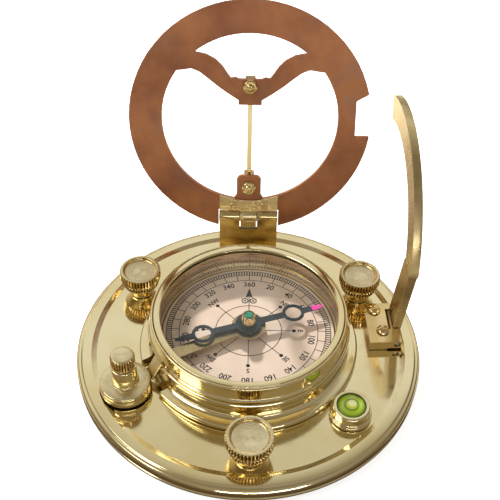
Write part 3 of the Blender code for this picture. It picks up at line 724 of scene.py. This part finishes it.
def marks_tree():
    """Geometry nodes: bars set round a circle, a step apart, from a start angle."""
    tree = bpy.data.node_groups.new("marks_round_circle", 'GeometryNodeTree')
    tree.interface.new_socket(name="Geometry", in_out='OUTPUT', socket_type='NodeSocketGeometry')
    names = {}
    for name, kind, value in (("Count", 'NodeSocketInt', 36), ("Radius", 'NodeSocketFloat', 0.03),
                              ("Length", 'NodeSocketFloat', 0.002),
                              ("Width", 'NodeSocketFloat', 0.0003),
                              ("Thickness", 'NodeSocketFloat', 0.00005),
                              ("Start", 'NodeSocketFloat', 0.0), ("Step", 'NodeSocketFloat', 0.1)):
        names[name] = tree_input(tree, name, kind, value)
    names["Ink"] = tree.interface.new_socket(name="Ink", in_out='INPUT',
                                             socket_type='NodeSocketMaterial').identifier
    new, link = tree.nodes.new, tree.links.new
    given, result = new("NodeGroupInput"), new("NodeGroupOutput")
    line = new("GeometryNodeMeshLine")
    line.inputs["Offset"].default_value = (0, 0, 0)
    link(given.outputs["Count"], line.inputs["Count"])
    size = new("ShaderNodeCombineXYZ")
    for axis, name in zip("XYZ", ("Length", "Width", "Thickness")):
        link(given.outputs[name], size.inputs[axis])
    bar = new("GeometryNodeMeshCube")
    link(size.outputs[0], bar.inputs["Size"])
    out = new("ShaderNodeCombineXYZ")
    link(given.outputs["Radius"], out.inputs["X"])
    moved = new("GeometryNodeTransform")
    link(bar.outputs["Mesh"], moved.inputs["Geometry"])
    link(out.outputs[0], moved.inputs["Translation"])
    index = new("GeometryNodeInputIndex")
    angle = new("ShaderNodeMath")
    angle.operation = 'MULTIPLY_ADD'
    link(index.outputs[0], angle.inputs[0])
    link(given.outputs["Step"], angle.inputs[1])
    link(given.outputs["Start"], angle.inputs[2])
    turn = new("ShaderNodeCombineXYZ")
    link(angle.outputs[0], turn.inputs["Z"])
    spread = new("GeometryNodeInstanceOnPoints")
    link(line.outputs["Mesh"], spread.inputs["Points"])
    link(moved.outputs["Geometry"], spread.inputs["Instance"])
    link(turn.outputs[0], spread.inputs["Rotation"])
    real = new("GeometryNodeRealizeInstances")
    link(spread.outputs["Instances"], real.inputs["Geometry"])
    coat = new("GeometryNodeSetMaterial")
    link(real.outputs["Geometry"], coat.inputs["Geometry"])
    link(given.outputs["Ink"], coat.inputs["Material"])
    link(coat.outputs["Geometry"], result.inputs["Geometry"])
    return tree, names


MARKS, MARK_INPUTS = marks_tree()


def marks(name, where, ink, **sizes):
    """One ring of marks as a plain mesh. Lengths in millimetres, angles in degrees."""
    obj = new_object(name, bpy.data.meshes.new(name))
    mod = obj.modifiers.new("marks", 'NODES')
    mod.node_group = MARKS
    for key, value in sizes.items():
        if key == "Count":
            mod[MARK_INPUTS[key]] = value
        elif key in ("Start", "Step"):
            mod[MARK_INPUTS[key]] = math.radians(value)
        else:
            mod[MARK_INPUTS[key]] = value * MM
    mod[MARK_INPUTS["Ink"]] = ink
    bpy.context.view_layer.update()
    graph = bpy.context.evaluated_depsgraph_get()
    mesh = bpy.data.meshes.new_from_object(obj.evaluated_get(graph))
    obj.modifiers.clear()
    mesh.transform(where)
    obj.data = mesh
    return obj


def joined(name, objs, mat):
    """One mesh from several that ride together."""
    bm = bmesh.new()
    for obj in objs:
        bm.from_mesh(obj.data)
    mesh = bpy.data.meshes.new(name)
    bm.to_mesh(mesh)
    bm.free()
    for obj in objs:
        bpy.data.objects.remove(obj, do_unlink=True)
    return new_object(name, mesh, mat)


def lettering(text, height, where, ink, stretch=1.0, weight=0.0):
    """Flat letters, centred, as a mesh."""
    curve = bpy.data.curves.new("letters", 'FONT')
    curve.body = text
    curve.size = height * 1.42 * MM
    curve.align_x, curve.align_y = 'CENTER', 'CENTER'
    curve.extrude = 0.02 * MM
    curve.offset = weight * MM
    curve.resolution_u = 4
    obj = bpy.data.objects.new("letters", curve)
    bpy.context.scene.collection.objects.link(obj)
    bpy.context.view_layer.update()
    graph = bpy.context.evaluated_depsgraph_get()
    mesh = bpy.data.meshes.new_from_object(obj.evaluated_get(graph))
    bpy.data.objects.remove(obj, do_unlink=True)
    mesh.transform(where @ Matrix.Diagonal((stretch, 1, 1, 1)))
    return new_object("letters", mesh, ink)


def polygon(points, where, ink):
    """A thin flat shape from its outline."""
    bm = bmesh.new()
    verts = [bm.verts.new((x * MM, y * MM, 0)) for x, y in points]
    face = bm.faces.new(verts)
    top = bmesh.ops.extrude_face_region(bm, geom=[face])
    moved = [v for v in top["geom"] if isinstance(v, bmesh.types.BMVert)]
    bmesh.ops.translate(bm, vec=(0, 0, 0.03 * MM), verts=moved)
    bmesh.ops.recalc_face_normals(bm, faces=bm.faces)
    bmesh.ops.transform(bm, matrix=where, verts=bm.verts)
    mesh = bpy.data.meshes.new("shape")
    bm.to_mesh(mesh)
    bm.free()
    return new_object("shape", mesh, ink)


def line_ring(radius, width, where, ink):
    return lathe("circle_line", [(radius - width / 2, 0.03), (radius + width / 2, 0.03),
                                 (radius + width / 2, 0.0), (radius - width / 2, 0.0)],
                 where, ink, steps=144, ease=0, ring=True)


def dial_printing():
    top = place_z() @ Matrix.Translation((0, 0, (DIAL_TOP + 0.005) * MM))
    made = [marks("degree_marks", top, INK, Count=180, Radius=29.2, Length=1.75, Width=0.42,
                  Thickness=0.04, Start=0, Step=2),
            marks("box_marks", top, INK, Count=36, Radius=26.9, Length=2.9, Width=0.24,
                  Thickness=0.04, Start=0, Step=10)]
    for radius, width in ((30.25, 0.26), (28.35, 0.22), (25.5, 0.24), (12.15, 0.26)):
        made.append(line_ring(radius, width, top, INK))
    for bearing in range(20, 361, 20):
        x, y = polar(23.2, 90 - bearing)
        where = top @ Matrix.Translation((x * MM, y * MM, 0))
        where = where @ Matrix.Rotation(math.radians(-bearing), 4, 'Z')
        made.append(lettering(str(bearing), 2.35, where, INK, 0.92, 0.05))
    for bearing, name in ((45, "NE"), (90, "E"), (135, "SE"), (180, "S"), (225, "SW"), (270, "W"),
                          (315, "NW")):
        x, y = polar(18.9, 90 - bearing)
        where = top @ Matrix.Translation((x * MM, y * MM, 0))
        where = where @ Matrix.Rotation(math.radians(-bearing), 4, 'Z')
        made.append(lettering(name, 1.9, where, INK, 0.95, 0.05))
        turn = top @ Matrix.Rotation(math.radians(90 - bearing), 4, 'Z')
        made.append(polygon([(2.5, -0.13), (16.4, -0.13), (16.4, 0.13), (2.5, 0.13)], turn, INK))
        dot = [(16.7 + 0.72 * math.cos(a * math.tau / 16), 0.72 * math.sin(a * math.tau / 16))
               for a in range(16)]
        made.append(polygon(dot, turn, INK))
    north = top @ Matrix.Rotation(math.radians(90), 4, 'Z')
    made.append(polygon([(2.5, -0.15), (17.5, -0.15), (17.5, 0.15), (2.5, 0.15)], north, INK))
    made.append(polygon([(16.2, 1.35), (21.4, 0.0), (16.2, -1.35), (17.1, 0.0)][::-1], north, INK))
    for side in (-1, 1):
        curl = top @ Matrix.Translation((side * 1.55 * MM, 14.7 * MM, 0))
        made.append(line_ring(1.15, 0.42, curl, INK))
        made.append(line_ring(0.35, 0.3, curl, INK))
    ride(joined("dial_print", made, INK), "base")


# ------------------------------------------------------- hinge, ring, gnomon

def screw_heads():
    """Slotted round heads on the plate's screws."""
    spots = {"hinge_screw_1": ((HINGE_X - 7.0, 52.4), 6.9, 15),
             "hinge_screw_2": ((HINGE_X + 7.0, 52.4), 6.9, -40),
             "arc_bracket_screw_1": ((50.0, 3.2), 9.3, 25),
             "arc_bracket_screw_2": ((47.6, 13.3), 9.3, -35)}
    for node, (spot, seat, turn) in spots.items():
        head = lathe(node + "_slotted", [(0, seat + 1.7), (0.8, seat + 1.65), (1.5, seat + 1.4),
                                         (2.1, seat + 0.95), (2.4, seat + 0.5),
                                         (2.4, seat + 0.3), (1.1, seat + 0.3), (1.1, 1.8),
                                         (0, 1.8)], place_z(*spot), BRASS_DEEP, steps=40, ease=0.06)
        slot = block((-3, -0.32, seat + 0.85), (3, 0.32, seat + 3), place_z(*spot, turn=turn))
        stand_for(cut(head, slot), node)


def base_leaf():
    """The plate's hinge leaf, with painted shade inside its window and on the ends of its knuckles."""
    window_half, window_floor, end_floor = 3.7, 18.0, 16.0
    leaf = refined("hinge_base_leaf", BRASS_DEEP, bevel=0.06)
    leaf.data.materials.append(PAINTED_SHADE)
    for face in leaf.data.polygons:
        x, z = face.center.x / MM - HINGE_X, face.center.z / MM - FOOT
        window_shade = abs(x) < window_half and z > window_floor
        end_shade = abs(face.normal.x) > 0.9 and z > end_floor
        # Faces in the window and on the knuckle ends take the painted shade.
        if window_shade or end_shade:
            face.material_index = 1
    stand_for(leaf, "hinge_base_leaf")


def ring_and_hinge():
    stand_for(refined("hour_ring", COPPER, bevel=0.22), "hour_ring")
    base_leaf()
    stand_for(refined("hinge_ring_leaf", BRASS_RUBBED_AND_LIT, bevel=0.08), "hinge_ring_leaf")
    for side in (-1, 1):
        across = Matrix.Translation(Vector((HINGE_X + side * 3.35, HINGE_Y, HINGE_Z + FOOT)) * MM)
        # Washers in the knuckle gaps, coloured near-black as painted shade.
        washer = lathe(f"shaded_hinge_washer_{side + 2}", [(1.15, 0.12), (2.05, 0.12), (2.05, -0.12),
                                                    (1.15, -0.12)],
                       across @ Matrix.Rotation(math.radians(90), 4, 'Y'), PAINTED_SHADE, steps=32,
                       ease=0, ring=True)
        ride(washer, "base")
    for i, (x, v) in enumerate(RIVET_SPOTS):
        rivet = lathe(f"dished_rivet_{i + 1}", [(0, 0.35), (0.5, 0.45), (1.0, 0.8), (1.35, 0.8),
                                                (1.6, 0.5), (1.6, 0.3), (0.9, 0.3), (0.9, -3.4),
                                                (1.6, -3.4), (1.3, -3.9), (0, -4.0)],
                      on_ring(x, v), BRASS_DEEP, steps=32, ease=0.05)
        stand_for(rivet, f"leaf_rivet_{i + 1}")
    nut = [(0, 1.0), (0.7, 0.95), (1.15, 0.7), (1.35, 0.4), (1.6, 0.2), (2.1, 0.3), (2.5, 0.1),
           (2.8, -0.3), (2.8, -1.0), (1.5, -1.0), (1.5, -0.1), (0, -0.1)]
    for name, v in STUD_HEIGHTS.items():
        dome = lathe(f"domed_nut_{name}", nut, on_ring(0, v), BRASS_DEEP, steps=48, ease=0.08)
        stand_for(dome, f"gnomon_nut_{name}")
        stand_for(refined(f"gnomon_foot_{name}", BRASS_DEEP, bevel=0.2), f"gnomon_foot_{name}")
    stand_for(refined("gnomon", BRASS, bevel=0.15), "gnomon")
    screw_heads()


# ---------------------------------------------------------------- the arc

def arc_pieces():
    stand_for(refined("arc_bracket", BRASS_DEEP, bevel=0.22), "arc_bracket")
    stand_for(refined("arc_arm", BRASS_SATIN, bevel=0.2), "arc_arm")
    strip = refined("latitude_arc", BRASS_SATIN, bevel=0.2)
    strip.data.materials.append(BRASS_RUBBED_AND_LIT)
    # The inner face, looking toward -x, takes the paler rubbed brass: partly its finish, partly painted
    # light on that side.
    for face in strip.data.polygons:
        if face.normal.x < -0.9:
            face.material_index = 1
    stand_for(strip, "latitude_arc")


def small_parts():
    for node in ("lifter_pin", "lock_spindle", "hinge_pin", "arc_pin"):
        stand_for(refined(node, STEEL, bevel=0.1, angle=30), node)


plate_and_bowl()
glazing()
knobs()
level()
needle()
dial_printing()
ring_and_hinge()
arc_pieces()
small_parts()


# ----------------------------------------------------------- floor and light

def floor():
    """A white floor; to the polished pieces it shows a painted shadow, dark brown near the instrument and
    pale further out.
    """
    bpy.ops.mesh.primitive_plane_add(size=6.0)
    ground = bpy.context.object
    ground.name = "floor"
    made = Finish("pale_floor", (0.9, 0.9, 0.9), 0.9, 0.0)
    rays = made.nodes.new("ShaderNodeLightPath")
    reach = made.nodes.new("ShaderNodeVectorMath")
    reach.operation = 'LENGTH'
    made.link(made.place(), reach.inputs[0])
    # Glossy rays see the floor dark brown near the instrument and pale further out: a painted shadow around
    # it.
    reflected_shadow = made.ramp(made.spread(reach.outputs["Value"], 0.06, 0.4, 0.0, 1.0),
                      [(0.0, (0.16, 0.10, 0.055)), (0.35, (0.74, 0.66, 0.53)), (1.0, (1.0, 0.96, 0.88))])
    shade = made.mix(rays.outputs["Is Glossy Ray"], (0.9, 0.9, 0.9, 1), reflected_shadow)
    glow = made.mix(rays.outputs["Is Camera Ray"], (0.0, 0.0, 0.0, 1), (1, 1, 1, 1))
    made.colour(shade)
    made.link(glow, made.shader.inputs["Emission Color"])
    made.set(made.shader, "Emission Strength", 0.75)
    ground.data.materials.append(made.mat)


def softbox(name, power, size, location, aim=(0, 0.01, 0.02), mirrored=True):
    lamp = bpy.data.lights.new(name, 'AREA')
    lamp.shape = 'RECTANGLE'
    lamp.size, lamp.size_y = size
    lamp.energy = power
    obj = bpy.data.objects.new(name, lamp)
    bpy.context.scene.collection.objects.link(obj)
    obj.location = location
    obj.rotation_euler = (Vector(aim) - Vector(location)).to_track_quat('-Z', 'Y').to_euler()
    obj.visible_glossy = mirrored


def studio():
    """A bright sky behind the instrument, with a dimmer and warmer room in front."""
    world = bpy.data.worlds.new("studio")
    bpy.context.scene.world = world
    world.use_nodes = True
    nodes, link = world.node_tree.nodes, world.node_tree.links.new
    coords = nodes.new("ShaderNodeTexCoord")
    split = nodes.new("ShaderNodeSeparateXYZ")
    link(coords.outputs["Generated"], split.inputs[0])

    def band(value, stops):
        ramp = nodes.new("ShaderNodeValToRGB")
        link(value, ramp.inputs["Fac"])
        for position, _ in stops[2:]:
            ramp.color_ramp.elements.new(position)
        for element, (position, colour) in zip(ramp.color_ramp.elements, stops):
            element.position = position
            element.color = (*colour, 1.0)
        return ramp.outputs["Color"]

    height = band(split.outputs["Z"], [(0.0, (0.42, 0.36, 0.28)), (0.12, (0.34, 0.28, 0.20)),
                                       (0.32, (0.60, 0.56, 0.48)), (0.55, (0.90, 0.88, 0.82)),
                                       (0.765, (0.92, 0.90, 0.86)), (0.82, (0.74, 0.71, 0.63)),
                                       (1.0, (0.58, 0.55, 0.47))])
    toward = nodes.new("ShaderNodeVectorMath")
    toward.operation = 'DOT_PRODUCT'
    toward.inputs[1].default_value = Vector((-0.28, 0.95, 0.0)).normalized()
    link(coords.outputs["Generated"], toward.inputs[0])
    around = band(toward.outputs["Value"], [(0.0, (0.42, 0.38, 0.33)), (0.3, (0.60, 0.56, 0.50)),
                                            (0.48, (1.0, 1.0, 1.0))])
    both = nodes.new("ShaderNodeMix")
    both.data_type = 'RGBA'
    both.blend_type = 'MULTIPLY'
    both.inputs["Factor"].default_value = 1.0
    link(height, both.inputs[MIX_A])
    link(around, both.inputs[MIX_B])
    back = nodes["Background"]
    link(both.outputs[MIX_COLOUR], back.inputs["Color"])
    back.inputs["Strength"].default_value = 0.9
    softbox("key_behind", 6.5, (0.04, 0.04), (-0.13, 0.56, 0.38), aim=(0, 0, 0.015),
            mirrored=False)
    softbox("fill_left", 1.6, (0.5, 0.3), (-0.6, -0.2, 0.55))
    softbox("front_strip", 1.0, (0.6, 0.06), (0.1, -0.7, 0.3))


def camera():
    data = bpy.data.cameras.new("camera")
    data.lens = 64.48
    data.sensor_width = 36.0
    data.clip_start = 0.01
    obj = bpy.data.objects.new("camera", data)
    bpy.context.scene.collection.objects.link(obj)
    obj.location = (0, -0.2179, 0.264)
    tilt = Matrix.Rotation(math.radians(90 - 43.70), 4, 'X')
    roll = Matrix.Rotation(math.radians(1.0), 4, 'Z')
    obj.rotation_euler = (tilt @ roll).to_euler()
    bpy.context.scene.camera = obj


floor()
studio()
camera()
bpy.context.scene.view_settings.view_transform = 'Standard'
